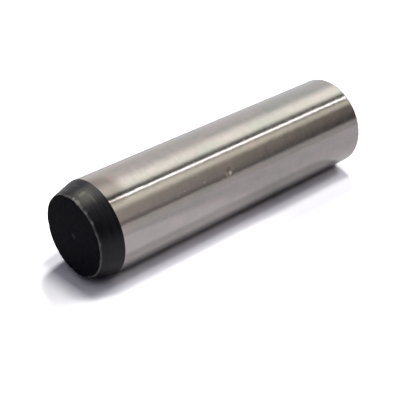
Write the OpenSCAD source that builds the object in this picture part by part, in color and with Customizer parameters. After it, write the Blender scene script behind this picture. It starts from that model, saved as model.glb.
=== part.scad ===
// Dowel pin, turned from one bar, hardened, then ground on its parallel side.
// It stands on its flat lead face at z = 0, with its axis on +Z and its crowned end up.
// All lengths are in millimetres.

/* [Pin] */
// Ground diameter of the parallel side
pin_d = 8; // [5:0.5:20]
// Overall length, from the flat lead face to the top of the crown
pin_l = 30; // [12:1:120]

/* [Lead end] */
// Length of the lead taper along the axis, up to the parallel side
taper_l = 1.92; // [0.8:0.04:4]
// Fall of the taper on the radius, from the parallel side to the flat lead face
taper_fall = 0.56; // [0.2:0.02:1]
// Radius that blends the taper into the parallel side
taper_blend_r = 0.7; // [0.1:0.1:1.5]
// Radius that breaks the edge of the flat lead face
face_edge_r = 0.16; // [0.04:0.04:0.28]

/* [Centre mark] */
// Width of the shallow round mark at the middle of the lead face
mark_d = 0.4; // [0.3:0.1:1]
// Depth of that mark
mark_depth = 0.07; // [0.02:0.01:0.15]

/* [Crowned end] */
// Radius of the crown, as a multiple of the pin's diameter
crown_ratio = 1; // [0.6:0.05:2]
// Width of the bevel that breaks the crown's edge, on the radius
crown_bevel = 0.15; // [0.05:0.05:0.4]

/* [Hidden] */
$fn = 128;

pin_r = pin_d / 2;
steel_colour = "#b5b0ab";

// Direction of the taper's line in the section, from the lead face up to the parallel side
along_taper = [taper_fall, taper_l] / norm([taper_fall, taper_l]);

// Round on the edge of the lead face: where it leaves the face and where it meets the taper
face_corner = [pin_r - taper_fall, 0];
face_edge_run = face_edge_r * (1 - along_taper[0]) / along_taper[1];
face_edge_start = face_corner - [face_edge_run, 0];
face_edge_end = face_corner + face_edge_run * along_taper;
face_edge_centre = face_edge_start + [0, face_edge_r];

// Round between the taper and the parallel side
blend_corner = [pin_r, taper_l];
blend_run = taper_blend_r * (1 - along_taper[1]) / along_taper[0];
blend_start = blend_corner - blend_run * along_taper;
blend_end = blend_corner + [0, blend_run];
blend_centre = blend_end - [taper_blend_r, 0];

// Crown: a sphere on the axis, with a 45 degree bevel from the parallel side onto it
crown_r = crown_ratio * pin_d;
crown_centre = [0, pin_l - crown_r];
crown_foot_r = pin_r - crown_bevel;
crown_foot_z = crown_centre[1] + sqrt(pow(crown_r, 2) - pow(crown_foot_r, 2));
bevel_z = crown_foot_z - crown_bevel;

// Centre mark: the sphere whose cap has the mark's width and depth
mark_r = (pow(mark_d / 2, 2) + pow(mark_depth, 2)) / (2 * mark_depth);
mark_centre = [0, mark_depth - mark_r];

// A slice of a disc, from its centre out to the arc between start and end
module arc_slice(centre, r, start, end) {
    reach = 2;
    intersection() {
        translate(centre) circle(r = r);
        polygon([centre, centre + reach * (start - centre), centre + reach * (end - centre)]);
    }
}

// Everything at or under the surface of the crown
module under_crown() {
    translate(crown_centre) circle(r = crown_r);
    square([pin_d, bevel_z]);
}

// Half of the section through the axis, with the radius along x and the height along y
module half_section() {
    difference() {
        intersection() {
            union() {
                // The bevel's line runs on to the axis, over the crown
                polygon([
                    [0, 0],
                    face_edge_start, face_edge_end,
                    blend_start, blend_end,
                    [pin_r, bevel_z], [0, bevel_z + pin_r],
                ]);
                arc_slice(face_edge_centre, face_edge_r, face_edge_start, face_edge_end);
                arc_slice(blend_centre, taper_blend_r, blend_start, blend_end);
            }
            under_crown();
        }
        translate(mark_centre) circle(r = mark_r);
    }
}

module dowel_pin() {
    color(steel_colour)
        rotate_extrude()
            half_section();
}

dowel_pin();
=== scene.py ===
import bpy
import bmesh
import math
from mathutils import Matrix, Vector


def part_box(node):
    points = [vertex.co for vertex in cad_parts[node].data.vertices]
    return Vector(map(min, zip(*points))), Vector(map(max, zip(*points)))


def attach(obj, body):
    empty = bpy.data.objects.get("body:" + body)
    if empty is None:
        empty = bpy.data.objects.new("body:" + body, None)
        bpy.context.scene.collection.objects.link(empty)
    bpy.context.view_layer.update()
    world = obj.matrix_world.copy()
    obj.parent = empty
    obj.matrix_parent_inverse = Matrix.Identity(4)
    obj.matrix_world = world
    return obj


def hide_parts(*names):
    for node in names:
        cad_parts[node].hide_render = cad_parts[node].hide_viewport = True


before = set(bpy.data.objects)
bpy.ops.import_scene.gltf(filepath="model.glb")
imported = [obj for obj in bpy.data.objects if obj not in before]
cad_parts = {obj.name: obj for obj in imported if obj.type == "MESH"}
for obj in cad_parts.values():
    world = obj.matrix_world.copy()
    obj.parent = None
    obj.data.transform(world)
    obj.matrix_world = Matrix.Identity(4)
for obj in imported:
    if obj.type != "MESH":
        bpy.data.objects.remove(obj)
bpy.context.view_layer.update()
mm = 0.001
tiny = 1e-6          # mm, two points closer than this are one
quarterTurn = 0.25   # of a circle, as a shader's rotation socket takes it


def linear(hexColour):
    # sRGB hex to the linear colour that sockets take
    parts = [int(hexColour[i:i + 2], 16) / 255 for i in (1, 3, 5)]
    return tuple(p / 12.92 if p <= 0.04045 else ((p + 0.055) / 1.055) ** 2.4 for p in parts) + (1.0,)


def scaled(hexColour, level):
    # the same, so many times as bright
    return tuple(c * level for c in linear(hexColour)[:3]) + (1.0,)


def addNode(tree, kind, settings=None, **links):
    # One node, its settings, and its inputs: each a socket to link from or a plain value.
    # An input goes by its socket's name, or as in0, in1 by its place.
    node = tree.nodes.new(kind)
    for name, value in (settings or {}).items():
        setattr(node, name, value)
    for name, value in links.items():
        place = int(name[2:]) if name[:2] == "in" and name[2:].isdigit() else name
        socket = node.inputs[place]
        if isinstance(value, bpy.types.NodeSocket):
            tree.links.new(value, socket)
        else:
            socket.default_value = value
    return node


# The pin lies along Z with its lead face at z = 0. The floor is below it, and up is -Y. The numbers
# come from a program that fitted the view to the outline that the pin has to show.
camera = {
    "lens": 93.15,               # mm
    "aim": (0.0, 2.13, 13.17),   # mm, the point in the middle of the view
    "distance": 88.2,            # mm, from that point
    "heading": 47.83,            # degrees round from the pin's axis
    "pitch": 31.52,              # degrees down to the floor
    "clip": (1, 10000),          # mm
}


def addCamera():
    heading, pitch = math.radians(camera["heading"]), math.radians(camera["pitch"])
    level = math.cos(pitch)      # share of the view that runs along the floor
    look = Vector((-math.sin(heading) * level, math.sin(pitch), math.cos(heading) * level))
    right = look.cross(Vector((0, -1, 0))).normalized()
    up = right.cross(look)
    data = bpy.data.cameras.new("camera")
    data.lens = camera["lens"]
    data.clip_start, data.clip_end = (c * mm for c in camera["clip"])
    obj = bpy.data.objects.new("camera", data)
    turned = Matrix((right, up, -look)).transposed().to_4x4()
    place = (Vector(camera["aim"]) - look * camera["distance"]) * mm
    obj.matrix_world = Matrix.Translation(place) @ turned
    bpy.context.collection.objects.link(obj)
    bpy.context.scene.camera = obj


# The pin, in mm. Angles are degrees round it, heights are from the lead face.
low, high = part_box("dowel_pin")
pin = {
    "radius": high[0] / mm,
    "length": (high[2] - low[2]) / mm,
    "taperLength": 1.92,
    "taperFall": 0.56,           # drop in radius along the taper
    "blendRadius": 0.7,          # where the taper meets the ground side
    "faceEdgeRadius": 0.16,
    "markWidth": 0.4,            # centre mark in the lead face
    "markDepth": 0.07,
    "crownRadius": 8.0,
    "crownBevel": 0.15,
    # mesh: segments round the pin, steps in each arc of the section, spacing along its straight parts
    "segments": 256,
    "arcSteps": {"mark": 6, "edge": 8, "blend": 6, "crown": 24},
    "spacing": {"face": 0.25, "taper": 0.06, "side": 0.12, "bevel": 0.07},
    # a small dent in the side, with the mesh finer round it
    "nick": {"turn": -31.2, "height": 13.24, "radius": 0.27, "depth": 0.009, "reach": 0.3, "fine": 0.035},
    # chips in the lead face's edge: angle, half length, depth
    "chips": [
        (-101, 0.5, 0.03), (-92, 0.3, 0.02), (-76, 0.35, 0.05), (-69, 0.22, 0.035), (-62, 0.4, 0.06),
        (-53, 0.25, 0.03), (-31, 0.5, 0.03), (-8, 0.3, 0.02), (12, 0.4, 0.025), (58, 0.5, 0.03),
        (97, 0.35, 0.04), (133, 0.3, 0.02), (171, 0.5, 0.03), (-140, 0.35, 0.03),
    ],
    "chipReach": 0.3,            # how far a chip runs in from the edge
    "chipSlant": 0.7,            # share of a chip's depth each way, inwards and up
    "faceLimit": 0.02,           # the lead face's black ends at this height
    "blackOverlap": 0.04,        # how far the taper's black runs on past its length
}


def arcPoints(centre, r, start, end, count):
    # points on an arc, angles in degrees
    points = []
    for i in range(count + 1):
        a = math.radians(start + (end - start) * i / count)
        points.append((centre[0] + r * math.cos(a), centre[1] + r * math.sin(a)))
    return points


def linePoints(start, end, step):
    count = max(1, round(math.dist(start, end) / step))
    return [tuple(s + (e - s) * i / count for s, e in zip(start, end)) for i in range(count + 1)]


def pinProfile():
    # Half of the section as (radius, height), from the centre mark to the top of the crown,
    # and the height at which the crown starts
    r, length, nick = pin["radius"], pin["length"], pin["nick"]
    steps, spacing = pin["arcSteps"], pin["spacing"]
    run = math.hypot(pin["taperFall"], pin["taperLength"])
    along = (pin["taperFall"] / run, pin["taperLength"] / run)
    tilt = math.degrees(math.atan2(pin["taperFall"], pin["taperLength"]))
    # each round starts its run away from the corner that it blends
    edge = pin["faceEdgeRadius"]
    edgeRun = edge * (1 - along[0]) / along[1]
    faceEnd = r - pin["taperFall"] - edgeRun
    blend = pin["blendRadius"]
    blendRun = blend * (1 - along[1]) / along[0]
    # the mark is a shallow cap of a ball, and so is the crown, which stands on a bevel
    markR = ((pin["markWidth"] / 2) ** 2 + pin["markDepth"] ** 2) / (2 * pin["markDepth"])
    markAngle = math.degrees(math.asin(pin["markWidth"] / 2 / markR))
    crownR = pin["crownRadius"]
    footR = r - pin["crownBevel"]
    footZ = length - crownR + math.sqrt(crownR ** 2 - footR ** 2)
    footAngle = math.degrees(math.asin(footR / crownR))
    sideEnd = footZ - pin["crownBevel"]
    mark = arcPoints((0, pin["markDepth"] - markR), markR, 90, 90 - markAngle, steps["mark"])
    face = linePoints(mark[-1], (faceEnd, 0), spacing["face"])
    edgeArc = arcPoints((faceEnd, edge), edge, -90, -tilt, steps["edge"])
    blendCentre = (r - blend, pin["taperLength"] + blendRun)
    blendArc = arcPoints(blendCentre, blend, -tilt, 0, steps["blend"])
    taper = linePoints(edgeArc[-1], blendArc[0], spacing["taper"])
    fineStart, fineEnd = (r, nick["height"] - nick["reach"]), (r, nick["height"] + nick["reach"])
    side = linePoints(blendArc[-1], fineStart, spacing["side"])
    side += linePoints(fineStart, fineEnd, nick["fine"])
    side += linePoints(fineEnd, (r, sideEnd), spacing["side"])
    bevel = linePoints(side[-1], (footR, footZ), spacing["bevel"])
    crown = arcPoints((0, length - crownR), crownR, 90 - footAngle, 90, steps["crown"])
    profile = []
    for part in (mark, face, edgeArc, taper, blendArc, side, bevel, crown):
        for point in part:
            if not profile or math.dist(profile[-1], point) > tiny:
                profile.append(point)
    return profile, sideEnd


def pinTurns():
    # Angles round the pin, in radians, closer together at the nick
    nick = pin["nick"]
    turns = [2 * math.pi * i / pin["segments"] for i in range(pin["segments"])]
    centre = math.radians(nick["turn"]) % (2 * math.pi)
    reach = nick["reach"] / pin["radius"]
    count = round(2 * nick["reach"] / nick["fine"])
    gap = nick["fine"] / pin["radius"]
    turns = [t for t in turns if abs(t - centre) > reach + gap]
    turns += [centre - reach + 2 * reach * i / count for i in range(count + 1)]
    return sorted(turns)


def pressNick(verts):
    nick = pin["nick"]
    turn = math.radians(nick["turn"])
    outward = Vector((math.cos(turn), math.sin(turn), 0))
    spot = (outward * pin["radius"] + Vector((0, 0, nick["height"]))) * mm
    for vert in verts:
        share = (vert.co - spot).length / (nick["radius"] * mm)
        if share < 1:
            vert.co -= outward * nick["depth"] * (1 - share * share) ** 2 * mm


def pressChips(verts):
    # Chips go into the rounded edge, inwards and up
    edge = pin["radius"] - pin["taperFall"]
    for vert in verts:
        radius, height = vert.co.xy.length / mm, vert.co.z / mm
        off = math.hypot(radius - edge, height) / pin["chipReach"]
        if off >= 1:
            continue
        angle = math.degrees(math.atan2(vert.co.y, vert.co.x))
        depth = 0
        for turn, half, deep in pin["chips"]:
            away = math.radians(abs((angle - turn + 180) % 360 - 180)) * edge / half
            if away < 1:
                depth = max(depth, deep * (1 - away * away) ** 2)
        push = depth * (1 - off * off) * pin["chipSlant"]
        vert.co.x *= 1 - push / radius
        vert.co.y *= 1 - push / radius
        vert.co.z += push * mm


def finishOf(face, sideEnd):
    # Which material a face has: 0 ground side, 1 turned taper and crown, 2 lead face with its mark
    radius, height = face.center.xy.length / mm, face.center.z / mm
    inMark = height < pin["markDepth"] and radius < pin["markWidth"] / 2
    if height < pin["faceLimit"] or inMark:
        return 2
    if height < pin["taperLength"] + pin["blackOverlap"] or height > sideEnd:
        return 1
    return 0


def addPin():
    # The profile is spun round Z, with a single point where it meets the axis
    profile, sideEnd = pinProfile()
    turns = pinTurns()
    bm = bmesh.new()
    rings = []
    for radius, height in profile:
        places = [(radius * math.cos(a) * mm, radius * math.sin(a) * mm, height * mm) for a in turns]
        if radius < tiny:
            places = [(0, 0, height * mm)]
        rings.append([bm.verts.new(place) for place in places])
    for lower, upper in zip(rings, rings[1:]):
        for i in range(len(turns)):
            j = (i + 1) % len(turns)
            if len(lower) == 1:
                bm.faces.new((lower[0], upper[j], upper[i]))
            elif len(upper) == 1:
                bm.faces.new((lower[i], lower[j], upper[0]))
            else:
                bm.faces.new((lower[i], lower[j], upper[j], upper[i]))
    pressNick(bm.verts)
    pressChips(bm.verts)
    mesh = bpy.data.meshes.new("pin")
    bm.normal_update()
    bm.to_mesh(mesh)
    bm.free()
    mesh.shade_smooth()
    obj = bpy.data.objects.new("pin", mesh)
    bpy.context.collection.objects.link(obj)
    # the side is ground bright, and the ends keep the black that hardening left
    for make in (centrelessGroundSteel, turnedBlackScale, facedBlackScale):
        mesh.materials.append(make())
    for face in mesh.polygons:
        face.material_index = finishOf(face, sideEnd)
    return obj


def millimetres(tree):
    # Object coordinates in millimetres
    place = addNode(tree, "ShaderNodeTexCoord").outputs["Object"]
    return addNode(tree, "ShaderNodeVectorMath", {"operation": "SCALE"}, in0=place, Scale=1 / mm).outputs[0]


def newMaterial(name):
    mat = bpy.data.materials.new(name)
    mat.use_nodes = True
    mat.node_tree.nodes.clear()
    return mat, mat.node_tree


# Hardened bearing steel, centreless ground. The wheel leaves fine lines round the pin, so the eye
# gets a bright metal whose reflections are sharp round the pin and drawn out along it.
groundSteel = {
    "coolPatch": "#9b9a95",      # bare steel
    "warmPatch": "#aba09f",      # under a thin film of dried oil
    "patchWidth": 1.4,           # mm round the pin
    "patchLength": 4.0,          # mm along it, as the film is wiped that way
    "patchContrast": 0.15,       # noise this far from its middle is all one colour
    "roughness": (0.13, 0.18),   # in the low and the high places of the lines
    "lineRange": (0.3, 0.7),     # noise levels of those places
    "anisotropy": 0.9,
    # Real grinding lines are about 0.02 mm apart, and are drawn ten times as coarse to show.
    "lineSpacing": 0.2,          # mm
    "lineLength": 1.2,           # mm round the pin
    "lineDepth": 0.0015,         # mm
    "lineTone": 0.32,            # how far the lines shift the colour between the patches
    "waveLength": 1.7,           # mm, slight unevenness that bends the reflections
    "waveDepth": 0.011,          # mm
    "markCore": 0.4,             # share of a mark's radius that has its full colour
    # small spots, the nick's three first: angle round the pin, height and radius in mm, colour, share
    "marksAndPaintedLight": [
        # a darker spot at the nick, and beside it two pale ones that are a painted highlight in the nick
        (-34, 13.32, 0.28, "#5a4446", 0.25), (-29.4, 13.05, 0.32, "#dccac6", 0.75),
        (-29.2, 13.34, 0.23, "#f8e8e4", 0.85),
        # pale specks, painted glints
        (-31.4, 26.46, 0.10, "#d8d4d0", 0.8), (-29.9, 7.76, 0.10, "#c8c4c0", 0.5),
        (-32.2, 8.46, 0.09, "#c8c4c0", 0.4), (-31.9, 10.57, 0.12, "#d0ccc8", 0.5),
        # a painted glint near the tail, and a warm spot near the lead end
        (-74.2, 29.0, 0.12, "#f4f0ec", 0.8), (-83.6, 3.5, 0.35, "#b89a8c", 0.4),
        # painted shade that dims the softbox's reflection where the side meets the taper
        (-72, 2.2, 2.2, "#7b736f", 0.85),
    ],
}


def centrelessGroundSteel():
    mat, tree = newMaterial("centrelessGroundSteel")
    place = millimetres(tree)
    fineness = (1 / groundSteel["lineLength"], 1 / groundSteel["lineLength"], 1 / groundSteel["lineSpacing"])
    stretched = addNode(tree, "ShaderNodeVectorMath", {"operation": "MULTIPLY"}, in0=place, in1=fineness)
    lines = addNode(tree, "ShaderNodeTexNoise", Vector=stretched.outputs[0], Scale=1.0, Detail=3.0,
                    Roughness=0.6)
    waves = addNode(tree, "ShaderNodeTexNoise", Vector=place, Scale=1 / groundSteel["waveLength"],
                    Detail=4.0, Roughness=0.65)
    wiped = (1 / groundSteel["patchWidth"], 1 / groundSteel["patchWidth"], 1 / groundSteel["patchLength"])
    drawn = addNode(tree, "ShaderNodeVectorMath", {"operation": "MULTIPLY"}, in0=place, in1=wiped)
    patches = addNode(tree, "ShaderNodeTexNoise", Vector=drawn.outputs[0], Scale=1.0, Detail=5.0,
                      Roughness=0.75)
    # noise averages 0.5, so half the tone comes off again
    toned = addNode(tree, "ShaderNodeMath", {"operation": "MULTIPLY_ADD"}, in0=lines.outputs[0],
                    in1=groundSteel["lineTone"], in2=patches.outputs[0])
    middle, contrast = 0.5 + groundSteel["lineTone"] / 2, groundSteel["patchContrast"]
    spread = addNode(tree, "ShaderNodeMapRange", **{
        "Value": toned.outputs[0], "From Min": middle - contrast, "From Max": middle + contrast})
    colour = addNode(tree, "ShaderNodeMix", {"data_type": "RGBA"}, in0=spread.outputs[0],
                     in6=linear(groundSteel["coolPatch"]), in7=linear(groundSteel["warmPatch"])).outputs[2]
    # each spot, painted glints, highlights and shade among them, blends its colour in round its place
    for angle, height, size, hexColour, share in groundSteel["marksAndPaintedLight"]:
        a = math.radians(angle)
        spot = (pin["radius"] * math.cos(a), pin["radius"] * math.sin(a), height)
        away = addNode(tree, "ShaderNodeVectorMath", {"operation": "DISTANCE"}, in0=place, in1=spot)
        near = addNode(tree, "ShaderNodeMapRange", {"interpolation_type": "SMOOTHSTEP"}, **{
            "Value": away.outputs["Value"], "From Min": size, "From Max": size * groundSteel["markCore"],
            "To Max": share})
        colour = addNode(tree, "ShaderNodeMix", {"data_type": "RGBA"}, in0=near.outputs[0],
                         in6=colour, in7=linear(hexColour)).outputs[2]
    lineLow, lineHigh = groundSteel["lineRange"]
    smoothest, roughest = groundSteel["roughness"]
    rough = addNode(tree, "ShaderNodeMapRange", **{
        "Value": lines.outputs[0], "From Min": lineLow, "From Max": lineHigh,
        "To Min": smoothest, "To Max": roughest})
    ripple = addNode(tree, "ShaderNodeBump", Strength=1.0, Distance=groundSteel["waveDepth"] * mm,
                     Height=waves.outputs[0])
    scratch = addNode(tree, "ShaderNodeBump", Strength=1.0, Distance=groundSteel["lineDepth"] * mm,
                      Height=lines.outputs[0], Normal=ripple.outputs[0])
    # a quarter turn lays the drawn-out reflection along the pin, across the lines
    tangent = addNode(tree, "ShaderNodeTangent", {"direction_type": "RADIAL", "axis": "Z"})
    shader = addNode(tree, "ShaderNodeBsdfPrincipled", **{
        "Base Color": colour, "Metallic": 1.0, "Roughness": rough.outputs[0], "Normal": scratch.outputs[0],
        "Anisotropic": groundSteel["anisotropy"], "Anisotropic Rotation": quarterTurn,
        "Tangent": tangent.outputs[0]})
    addNode(tree, "ShaderNodeOutputMaterial", Surface=shader.outputs[0])
    return mat


# Black iron oxide, the scale that hardening leaves on turned and faced steel. Oxide alone has an
# IOR of 2.4. It is full of pores here, so that the gloss comes down to a soft sheen on the turned
# taper and crown and to nearly nothing on the face, which the eye takes for dull black.
blackScale = {
    "colour": "#0a0a11",
    "thin": "#18181f",           # where the scale on the face is thinnest
    "streak": "#1d1c1f",         # along the tool's lines
    "wornAndHighlight": "#716f6d",           # rubbed through to grey steel, and the colour of the painted highlight on the rim and round the centre mark
    "ior": 2.4,
    "turnedGloss": 0.052,
    "facedGloss": 0.0028,
    "turnedRoughness": (0.35, 0.48),
    "facedRoughness": 0.5,
    "turnedAnisotropy": 0.6,
    # Real tool lines are about 0.05 mm apart, and are drawn three times as coarse to show.
    "lineSpacing": 0.14,         # mm
    "lineLength": 2.0,           # mm round the pin
    "turnedDepth": 0.005,        # mm
    "facedDepth": 0.004,         # mm
    "mottleSize": 0.45,          # mm
    "rimWearAndHighlight": (0.06, 0.2),     # mm above the lead face, where the rim's wear and painted highlight start to fade and end
    "rimWearAndHighlightShare": 0.9,
    "rimPatch": 0.6,            # mm
    "rimLeast": 0.35,           # share of the rim's wear and painted highlight that stays between the patches
    "centreHighlight": (0.1, 0.3),    # mm from the centre mark, where its painted highlight starts to fade and ends
    "centreHighlightShare": 0.3,
    # noise levels between which each pattern goes from none to full
    "mottleRange": (0.35, 0.65),
    "streakRange": (0.4, 0.75),
    "roughRange": (0.3, 0.7),
    "patchRange": (0.35, 0.6),
    "scuffRange": (0.38, 0.58),
    "scuffLeast": 0.25,          # share of a scuff that the streaks leave
    "scuffCore": 0.2,            # share of a scuff's half size that has its full colour
    # rubbed patches on the taper: angle and height, half of each that they cover, colour, share
    # they lie on the upper side, and are in part a painted highlight of the softbox there
    "scuffsAndHighlights": [
        (-80, 0.85, 17, 0.85, "#53504b", 0.9), (-83.6, 0.85, 4, 0.45, "#76726a", 0.9),
        (-72, 1.15, 12, 0.16, "#59564e", 0.8), (-77.6, 0.1, 6, 0.2, "#9b9790", 1.0),
        (-86, 0.1, 3, 0.16, "#99948e", 1.0), (-43.6, 0.08, 4, 0.16, "#787579", 1.0),
        (-14, 0.1, 4, 0.14, "#6f6b6a", 0.9), (-104, 1.2, 9, 0.1, "#535050", 0.8),
        (-112, 0.5, 10, 0.12, "#535050", 0.8),
    ],
}


def facedBlackScale():
    mat, tree = newMaterial("facedBlackScale")
    place = millimetres(tree)
    # distance from the pin's axis
    axes = addNode(tree, "ShaderNodeSeparateXYZ", Vector=place)
    flat = addNode(tree, "ShaderNodeCombineXYZ", X=axes.outputs["X"], Y=axes.outputs["Y"])
    radius = addNode(tree, "ShaderNodeVectorMath", {"operation": "LENGTH"}, in0=flat.outputs[0])
    mottle = addNode(tree, "ShaderNodeTexNoise", Vector=place, Scale=1 / blackScale["mottleSize"],
                     Detail=5.0, Roughness=0.65)
    thick, thin = blackScale["mottleRange"]
    spread = addNode(tree, "ShaderNodeMapRange", **{
        "Value": mottle.outputs[0], "From Min": thick, "From Max": thin})
    colour = addNode(tree, "ShaderNodeMix", {"data_type": "RGBA"}, in0=spread.outputs[0],
                     in6=linear(blackScale["colour"]), in7=linear(blackScale["thin"])).outputs[2]
    # a painted highlight round the centre mark, in the grey of bare steel
    inner, outer = blackScale["centreHighlight"]
    middle = addNode(tree, "ShaderNodeMapRange", {"interpolation_type": "SMOOTHSTEP"}, **{
        "Value": radius.outputs["Value"], "From Min": outer, "From Max": inner,
        "To Max": blackScale["centreHighlightShare"]})
    colour = addNode(tree, "ShaderNodeMix", {"data_type": "RGBA"}, in0=middle.outputs[0],
                     in6=colour, in7=linear(blackScale["wornAndHighlight"])).outputs[2]
    rings = addNode(tree, "ShaderNodeTexNoise", {"noise_dimensions": "1D"}, W=radius.outputs["Value"],
                    Scale=1 / blackScale["lineSpacing"], Detail=2.0)
    bump = addNode(tree, "ShaderNodeBump", Strength=1.0, Distance=blackScale["facedDepth"] * mm,
                   Height=rings.outputs[0])
    shader = addNode(tree, "ShaderNodeBsdfPrincipled", **{
        "Base Color": colour, "Roughness": blackScale["facedRoughness"], "IOR": blackScale["ior"],
        "Specular IOR Level": blackScale["facedGloss"], "Normal": bump.outputs[0]})
    addNode(tree, "ShaderNodeOutputMaterial", Surface=shader.outputs[0])
    return mat


def turnedBlackScale():
    mat, tree = newMaterial("turnedBlackScale")
    place = millimetres(tree)
    axes = addNode(tree, "ShaderNodeSeparateXYZ", Vector=place)
    fineness = (1 / blackScale["lineLength"], 1 / blackScale["lineLength"], 1 / blackScale["lineSpacing"])
    stretched = addNode(tree, "ShaderNodeVectorMath", {"operation": "MULTIPLY"}, in0=place, in1=fineness)
    streaks = addNode(tree, "ShaderNodeTexNoise", Vector=stretched.outputs[0], Scale=1.0, Detail=3.0,
                      Roughness=0.6)
    streakStart, streakFull = blackScale["streakRange"]
    spread = addNode(tree, "ShaderNodeMapRange", **{
        "Value": streaks.outputs[0], "From Min": streakStart, "From Max": streakFull})
    colour = addNode(tree, "ShaderNodeMix", {"data_type": "RGBA"}, in0=spread.outputs[0],
                     in6=linear(blackScale["colour"]), in7=linear(blackScale["streak"])).outputs[2]
    # the rim of the lead face, rubbed in patches and lightened by a painted highlight
    inner, outer = blackScale["rimWearAndHighlight"]
    edge = addNode(tree, "ShaderNodeMapRange", {"interpolation_type": "SMOOTHSTEP"}, **{
        "Value": axes.outputs["Z"], "From Min": outer, "From Max": inner,
        "To Max": blackScale["rimWearAndHighlightShare"]})
    patches = addNode(tree, "ShaderNodeTexNoise", Vector=place, Scale=1 / blackScale["rimPatch"],
                      Detail=4.0)
    patchStart, patchFull = blackScale["patchRange"]
    broken = addNode(tree, "ShaderNodeMapRange", **{
        "Value": patches.outputs[0], "From Min": patchStart, "From Max": patchFull,
        "To Min": blackScale["rimLeast"]})
    wornAndHighlight = addNode(tree, "ShaderNodeMath", {"operation": "MULTIPLY"}, in0=edge.outputs[0],
                   in1=broken.outputs[0])
    colour = addNode(tree, "ShaderNodeMix", {"data_type": "RGBA"}, in0=wornAndHighlight.outputs[0],
                     in6=colour, in7=linear(blackScale["wornAndHighlight"])).outputs[2]
    # each scuff is an oval patch, broken up by the streaks; in part it is a painted highlight
    turned = addNode(tree, "ShaderNodeMath", {"operation": "ARCTAN2"}, in0=axes.outputs["Y"],
                     in1=axes.outputs["X"])
    scuffStart, scuffFull = blackScale["scuffRange"]
    stripes = addNode(tree, "ShaderNodeMapRange", **{
        "Value": streaks.outputs[0], "From Min": scuffStart, "From Max": scuffFull,
        "To Min": blackScale["scuffLeast"]})
    for angle, height, halfTurn, halfHeight, hexColour, share in blackScale["scuffsAndHighlights"]:
        half = math.radians(halfTurn)
        aside = addNode(tree, "ShaderNodeMath", {"operation": "MULTIPLY_ADD"}, in0=turned.outputs[0],
                        in1=1 / half, in2=-math.radians(angle) / half)
        above = addNode(tree, "ShaderNodeMath", {"operation": "MULTIPLY_ADD"}, in0=axes.outputs["Z"],
                        in1=1 / halfHeight, in2=-height / halfHeight)
        pair = addNode(tree, "ShaderNodeCombineXYZ", X=aside.outputs[0], Y=above.outputs[0])
        off = addNode(tree, "ShaderNodeVectorMath", {"operation": "LENGTH"}, in0=pair.outputs[0])
        inside = addNode(tree, "ShaderNodeMapRange", {"interpolation_type": "SMOOTHSTEP"}, **{
            "Value": off.outputs["Value"], "From Min": 1.0, "From Max": blackScale["scuffCore"],
            "To Max": share})
        rubbed = addNode(tree, "ShaderNodeMath", {"operation": "MULTIPLY"}, in0=inside.outputs[0],
                         in1=stripes.outputs[0])
        colour = addNode(tree, "ShaderNodeMix", {"data_type": "RGBA"}, in0=rubbed.outputs[0],
                         in6=colour, in7=linear(hexColour)).outputs[2]
    roughStart, roughFull = blackScale["roughRange"]
    smoothest, roughest = blackScale["turnedRoughness"]
    rough = addNode(tree, "ShaderNodeMapRange", **{
        "Value": streaks.outputs[0], "From Min": roughStart, "From Max": roughFull,
        "To Min": smoothest, "To Max": roughest})
    bump = addNode(tree, "ShaderNodeBump", Strength=1.0, Distance=blackScale["turnedDepth"] * mm,
                   Height=streaks.outputs[0])
    tangent = addNode(tree, "ShaderNodeTangent", {"direction_type": "RADIAL", "axis": "Z"})
    shader = addNode(tree, "ShaderNodeBsdfPrincipled", **{
        "Base Color": colour, "Roughness": rough.outputs[0], "IOR": blackScale["ior"],
        "Specular IOR Level": blackScale["turnedGloss"], "Anisotropic": blackScale["turnedAnisotropy"],
        "Anisotropic Rotation": quarterTurn, "Tangent": tangent.outputs[0], "Normal": bump.outputs[0]})
    addNode(tree, "ShaderNodeOutputMaterial", Surface=shader.outputs[0])
    return mat


# Matte board that the pin lies on. It scatters light evenly and gives the eye no gloss.
floor = {
    "size": 180,         # mm, each way
    "colour": "#eeeef0",
    "contactShade": 0.5,      # mm, how far the painted shade under the pin reaches
    "cameraLift": 2.4,   # how much lighter the camera sees the board, so that it reads as white
    "mirrorLift": 1.33,  # the same for the steel that mirrors it
    # soft shade painted on the board's tail half, as no lamp here casts it: it sets in between two
    # heights along the pin
    "shade": {"start": 13.5, "end": 20.5, "level": 0.78},
}


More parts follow.
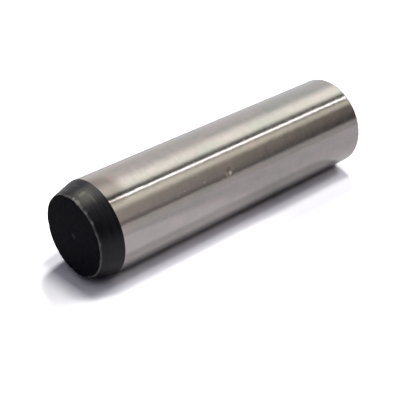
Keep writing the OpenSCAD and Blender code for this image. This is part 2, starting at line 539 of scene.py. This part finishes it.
def matteBoard():
    mat, tree = newMaterial("matteBoard")
    # its colour, and the lighter ones that the camera and the steel get
    path = addNode(tree, "ShaderNodeLightPath")
    mirrored = addNode(tree, "ShaderNodeMath", {"operation": "MAXIMUM"}, in0=path.outputs["Is Glossy Ray"],
                       in1=path.outputs["Is Transmission Ray"])
    colour = addNode(tree, "ShaderNodeMix", {"data_type": "RGBA"}, in0=mirrored.outputs[0],
                     in6=linear(floor["colour"]), in7=scaled(floor["colour"], floor["mirrorLift"]))
    colour = addNode(tree, "ShaderNodeMix", {"data_type": "RGBA"}, in0=path.outputs["Is Camera Ray"],
                     in6=colour.outputs[2], in7=scaled(floor["colour"], floor["cameraLift"]))
    shade = floor["shade"]
    axes = addNode(tree, "ShaderNodeSeparateXYZ", Vector=millimetres(tree))
    dim = addNode(tree, "ShaderNodeMapRange", {"interpolation_type": "SMOOTHSTEP"}, **{
        "Value": axes.outputs["Z"], "From Min": shade["start"], "From Max": shade["end"],
        "To Min": 1.0, "To Max": shade["level"]})
    shaded = addNode(tree, "ShaderNodeVectorMath", {"operation": "SCALE"}, in0=colour.outputs[2],
                     Scale=dim.outputs[0])
    # painted shade, darkest where the pin meets the board
    near = addNode(tree, "ShaderNodeAmbientOcclusion", Color=shaded.outputs[0],
                   Distance=floor["contactShade"] * mm)
    board = addNode(tree, "ShaderNodeBsdfDiffuse", Color=near.outputs["Color"])
    # seen from below it is clear, and so it is to the pin's mirrored rays of that view
    clear = addNode(tree, "ShaderNodeBsdfTransparent")
    geometry = addNode(tree, "ShaderNodeNewGeometry")
    below = addNode(tree, "ShaderNodeMath", {"operation": "MAXIMUM"}, in0=geometry.outputs["Backfacing"],
                    in1=path.outputs["Transparent Depth"])
    mix = addNode(tree, "ShaderNodeMixShader", in0=below.outputs[0],
                  in1=board.outputs[0], in2=clear.outputs[0])
    addNode(tree, "ShaderNodeOutputMaterial", Surface=mix.outputs[0])
    return mat


def addFloor():
    half = floor["size"] / 2 * mm
    y = pin["radius"] * mm
    mesh = bpy.data.meshes.new("floor")
    # wound so that the front looks up
    corners = [(-half, y, -half), (half, y, -half), (half, y, half), (-half, y, half)]
    mesh.from_pydata(corners, [], [(0, 1, 2, 3)])
    obj = bpy.data.objects.new("floor", mesh)
    bpy.context.collection.objects.link(obj)
    mesh.materials.append(matteBoard())


# What the pin mirrors, from the back wall over the top to the camera's side. Each thing starts at an
# angle from straight up, + towards the camera, with an edge that is soft by so many degrees to either
# side, and has a level, where 1 is plain white, and a tint. The taper mirrors the low part, and the
# ground side mirrors the part from the lead end to the tail. The levels and tints were matched by
# measurement in the one view, and aren't a real room's: the low softbox is far brighter than the
# same one above it. The lamps don't show in any of this, so the two are separate set-ups.
studio = {
    "low": {
        "backWall": (-90, 0, 0.58, "#f4f2ff"),
        "softbox": (-46, 8, 5.6, "#fffef4"),
        "gap": (-3, 9, 0.17, "#fcfaff"),
        "room": (50, 10, 0.11, "#e8e6ff"),
        "backdrop": (84, 5, 0.4, "#fcfaff"),
    },
    "leadEnd": {
        "backWall": (-90, 0, 1.07, "#fffaf8"),
        "softbox": (-26, 17, 1.92, "#fdfffa"),
        "gap": (3, 5.5, 0.17, "#f6fff4"),
        "stripLight": (13.8, 0.2, 5.2, "#ffffff"),
        "hood": (17.2, 0.2, 0.35, "#fff8f0"),
        "warmWall": (21, 4, 1.8, "#faf8ec"),
        "shelf": (38, 9, 0.8, "#fff8f0"),
        "room": (66, 4, 0.42, "#fff7f3"),
        "backdrop": (76, 2, 0.92, "#fffdfa"),
    },
    "tailEnd": {
        "backWall": (-90, 0, 0.95, "#f9ffff"),
        "softbox": (-32, 13, 2.06, "#fafff5"),
        "gap": (-0.5, 8, 0.21, "#f8fff4"),
        "stripLight": (13.8, 0.2, 5.2, "#ffffff"),
        "hood": (18, 0.2, 0.2, "#fff8f0"),
        "warmWall": (23.5, 3.5, 1.1, "#fafbe9"),
        "shelf": (36, 6, 0.24, "#fff4e6"),
        "room": (58, 10, 0.08, "#fff2f0"),
        "backdrop": (79, 4.5, 0.62, "#fffcfc"),
    },
    # where each part gives way to the next, from 0, straight up, to 1, straight on past the tail
    "heights": ((0.12, 0.42), (0.47, 0.69)),
    # a pale slat that crosses the room at a slant: its middle, how many degrees it climbs from 0 to 1,
    # and half its width in degrees and half its length
    "slat": {
        "turn": 67.5, "height": 0.58, "slope": 157, "half": 5, "reach": 0.05,
        "core": 0.3,             # share of its half width and length that is fully lit
        "level": 0.75, "tint": "#f6f4f0",
    },
    "walls": 0.04,           # what matte surfaces get from all of it, as one soft light
    "wallsTint": "#e0dcff",
    "leastWidth": 0.01,      # degrees, so that no two stops of a ramp share a place
}


def bandRamp(tree, spot, things):
    # One part of the studio as a ramp over the angle: each thing is level between its soft edges
    rows = list(things.values())
    stops = []
    for i, (start, soft, level, tint) in enumerate(rows):
        end = rows[i + 1][0] - rows[i + 1][1] if i + 1 < len(rows) else 90
        end = max(end, start + soft + studio["leastWidth"])
        stops += [(start + soft, scaled(tint, level)), (end, scaled(tint, level))]
    ramp = addNode(tree, "ShaderNodeValToRGB", Fac=spot)
    ramp.color_ramp.interpolation = "EASE"
    elements = ramp.color_ramp.elements
    for i, (degrees, colour) in enumerate(stops):
        place = (degrees + 90) / 180
        stop = elements[i] if i < 2 else elements.new(place)
        stop.position = place
        stop.color = colour
    return ramp


def slatGlow(tree, angle, height):
    # 1 on the slat, fading to 0 at its edge
    slat = studio["slat"]
    degrees = addNode(tree, "ShaderNodeMath", {"operation": "MULTIPLY"}, in0=angle, in1=180 / math.pi)
    middle = addNode(tree, "ShaderNodeMath", {"operation": "MULTIPLY_ADD"}, in0=height,
                     in1=slat["slope"], in2=slat["turn"] - slat["height"] * slat["slope"])
    aside = addNode(tree, "ShaderNodeMath", {"operation": "SUBTRACT"}, in0=degrees.outputs[0],
                    in1=middle.outputs[0])
    across = addNode(tree, "ShaderNodeMath", {"operation": "MULTIPLY"}, in0=aside.outputs[0],
                     in1=1 / slat["half"])
    along = addNode(tree, "ShaderNodeMath", {"operation": "MULTIPLY_ADD"}, in0=height,
                    in1=1 / slat["reach"], in2=-slat["height"] / slat["reach"])
    pair = addNode(tree, "ShaderNodeCombineXYZ", X=across.outputs[0], Y=along.outputs[0])
    off = addNode(tree, "ShaderNodeVectorMath", {"operation": "LENGTH"}, in0=pair.outputs[0])
    return addNode(tree, "ShaderNodeMapRange", {"interpolation_type": "SMOOTHSTEP"}, **{
        "Value": off.outputs["Value"], "From Min": 1.0, "From Max": slat["core"]}).outputs[0]


def addStudio():
    world = bpy.data.worlds.new("studio")
    bpy.context.scene.world = world
    world.use_nodes = True
    tree = world.node_tree
    tree.nodes.clear()
    direction = addNode(tree, "ShaderNodeTexCoord").outputs["Generated"]
    axes = addNode(tree, "ShaderNodeSeparateXYZ", Vector=direction)
    # the same things again below the floor, for a view from there
    up = addNode(tree, "ShaderNodeMath", {"operation": "ABSOLUTE"}, in0=axes.outputs["Y"])
    angle = addNode(tree, "ShaderNodeMath", {"operation": "ARCTAN2"}, in0=axes.outputs["X"],
                    in1=up.outputs[0])
    spot = addNode(tree, "ShaderNodeMapRange", **{
        "Value": angle.outputs[0], "From Min": -math.pi / 2, "From Max": math.pi / 2})
    ramps = [bandRamp(tree, spot.outputs[0], studio[part]) for part in ("low", "leadEnd", "tailEnd")]
    bands = ramps[0].outputs[0]
    for ramp, (start, stop) in zip(ramps[1:], studio["heights"]):
        along = addNode(tree, "ShaderNodeMapRange", **{
            "Value": axes.outputs["Z"], "From Min": start, "From Max": stop})
        bands = addNode(tree, "ShaderNodeMix", {"data_type": "RGBA"}, in0=along.outputs[0],
                        in6=bands, in7=ramp.outputs[0]).outputs[2]
    slat = studio["slat"]
    bands = addNode(tree, "ShaderNodeMix", {"data_type": "RGBA", "blend_type": "LIGHTEN"},
                    in0=slatGlow(tree, angle.outputs[0], axes.outputs["Z"]),
                    in6=bands, in7=scaled(slat["tint"], slat["level"])).outputs[2]
    # the steel mirrors the things, matte surfaces get one soft light, the camera sees plain white
    path = addNode(tree, "ShaderNodeLightPath")
    seen = addNode(tree, "ShaderNodeMix", {"data_type": "RGBA"}, in0=path.outputs["Is Glossy Ray"],
                   in6=scaled(studio["wallsTint"], studio["walls"]), in7=bands)
    clear = addNode(tree, "ShaderNodeMath", {"operation": "MAXIMUM"}, in0=path.outputs["Is Camera Ray"],
                    in1=path.outputs["Is Transmission Ray"])
    mixed = addNode(tree, "ShaderNodeMix", {"data_type": "RGBA"}, in0=clear.outputs[0],
                    in6=seen.outputs[2], in7=(1, 1, 1, 1))
    background = addNode(tree, "ShaderNodeBackground", Color=mixed.outputs[2], Strength=1.0)
    addNode(tree, "ShaderNodeOutputWorld", Surface=background.outputs[0])


# Lamps over the floor. Turn is from straight up towards the camera's side and lean is towards the
# tail, in degrees, width and length are in mm, and level is how bright the lamp alone makes a white
# floor. The levels come from a program that fitted them to the shadow's tones, and are rounded.
lampDistance = 400   # mm, from the middle of the pin
lamps = {
    "key": {"turn": 3, "lean": 9, "width": 65, "length": 90, "level": 0.29, "tint": "#fffdfa"},
    "tailWindow": {"turn": 16, "lean": 30, "width": 90, "length": 180, "level": 0.19, "tint": "#fdfdff"},
    "sideWindow": {"turn": 30, "lean": 5, "width": 200, "length": 200, "level": 0.062, "tint": "#f4f3ff"},
    "leadWindow": {"turn": 10, "lean": -32, "width": 200, "length": 200, "level": 0.03, "tint": "#f4f3ff"},
    "backSpot": {"turn": -23, "lean": 27, "width": 60, "length": 60, "level": 0.31, "tint": "#fdfdff"},
}


def addLamps():
    middle = Vector((0, 0, pin["length"] / 2 * mm))
    for name, lamp in lamps.items():
        turn, lean = math.tan(math.radians(lamp["turn"])), math.tan(math.radians(lamp["lean"]))
        towards = Vector((turn, -1, lean)).normalized()
        data = bpy.data.lights.new(name, "AREA")
        data.shape = "RECTANGLE"
        data.size, data.size_y = lamp["width"] * mm, lamp["length"] * mm
        # watts that give the level on a white floor, more for a lamp that slants
        data.energy = lamp["level"] * (math.pi * lampDistance * mm) ** 2 / -towards.y
        data.color = linear(lamp["tint"])[:3]
        obj = bpy.data.objects.new(name, data)
        # an area lamp shines along its own -Z, so +Z points away from the pin
        across = Vector((0, 0, 1)).cross(towards).normalized()
        turned = Matrix((across, towards.cross(across), towards)).transposed().to_4x4()
        obj.matrix_world = Matrix.Translation(middle + towards * lampDistance * mm) @ turned
        obj.visible_glossy = False
        obj.visible_camera = False
        bpy.context.collection.objects.link(obj)


addCamera()
print("camera placed")
pinObj = addPin()
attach(pinObj, "root")
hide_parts("dowel_pin")
print("pin made,", len(pinObj.data.vertices), "points,", len(pinObj.data.materials), "materials")
addFloor()
addStudio()
addLamps()
bpy.context.scene.view_settings.view_transform = "Standard"
print("floor, studio and", len(lamps), "lamps placed")
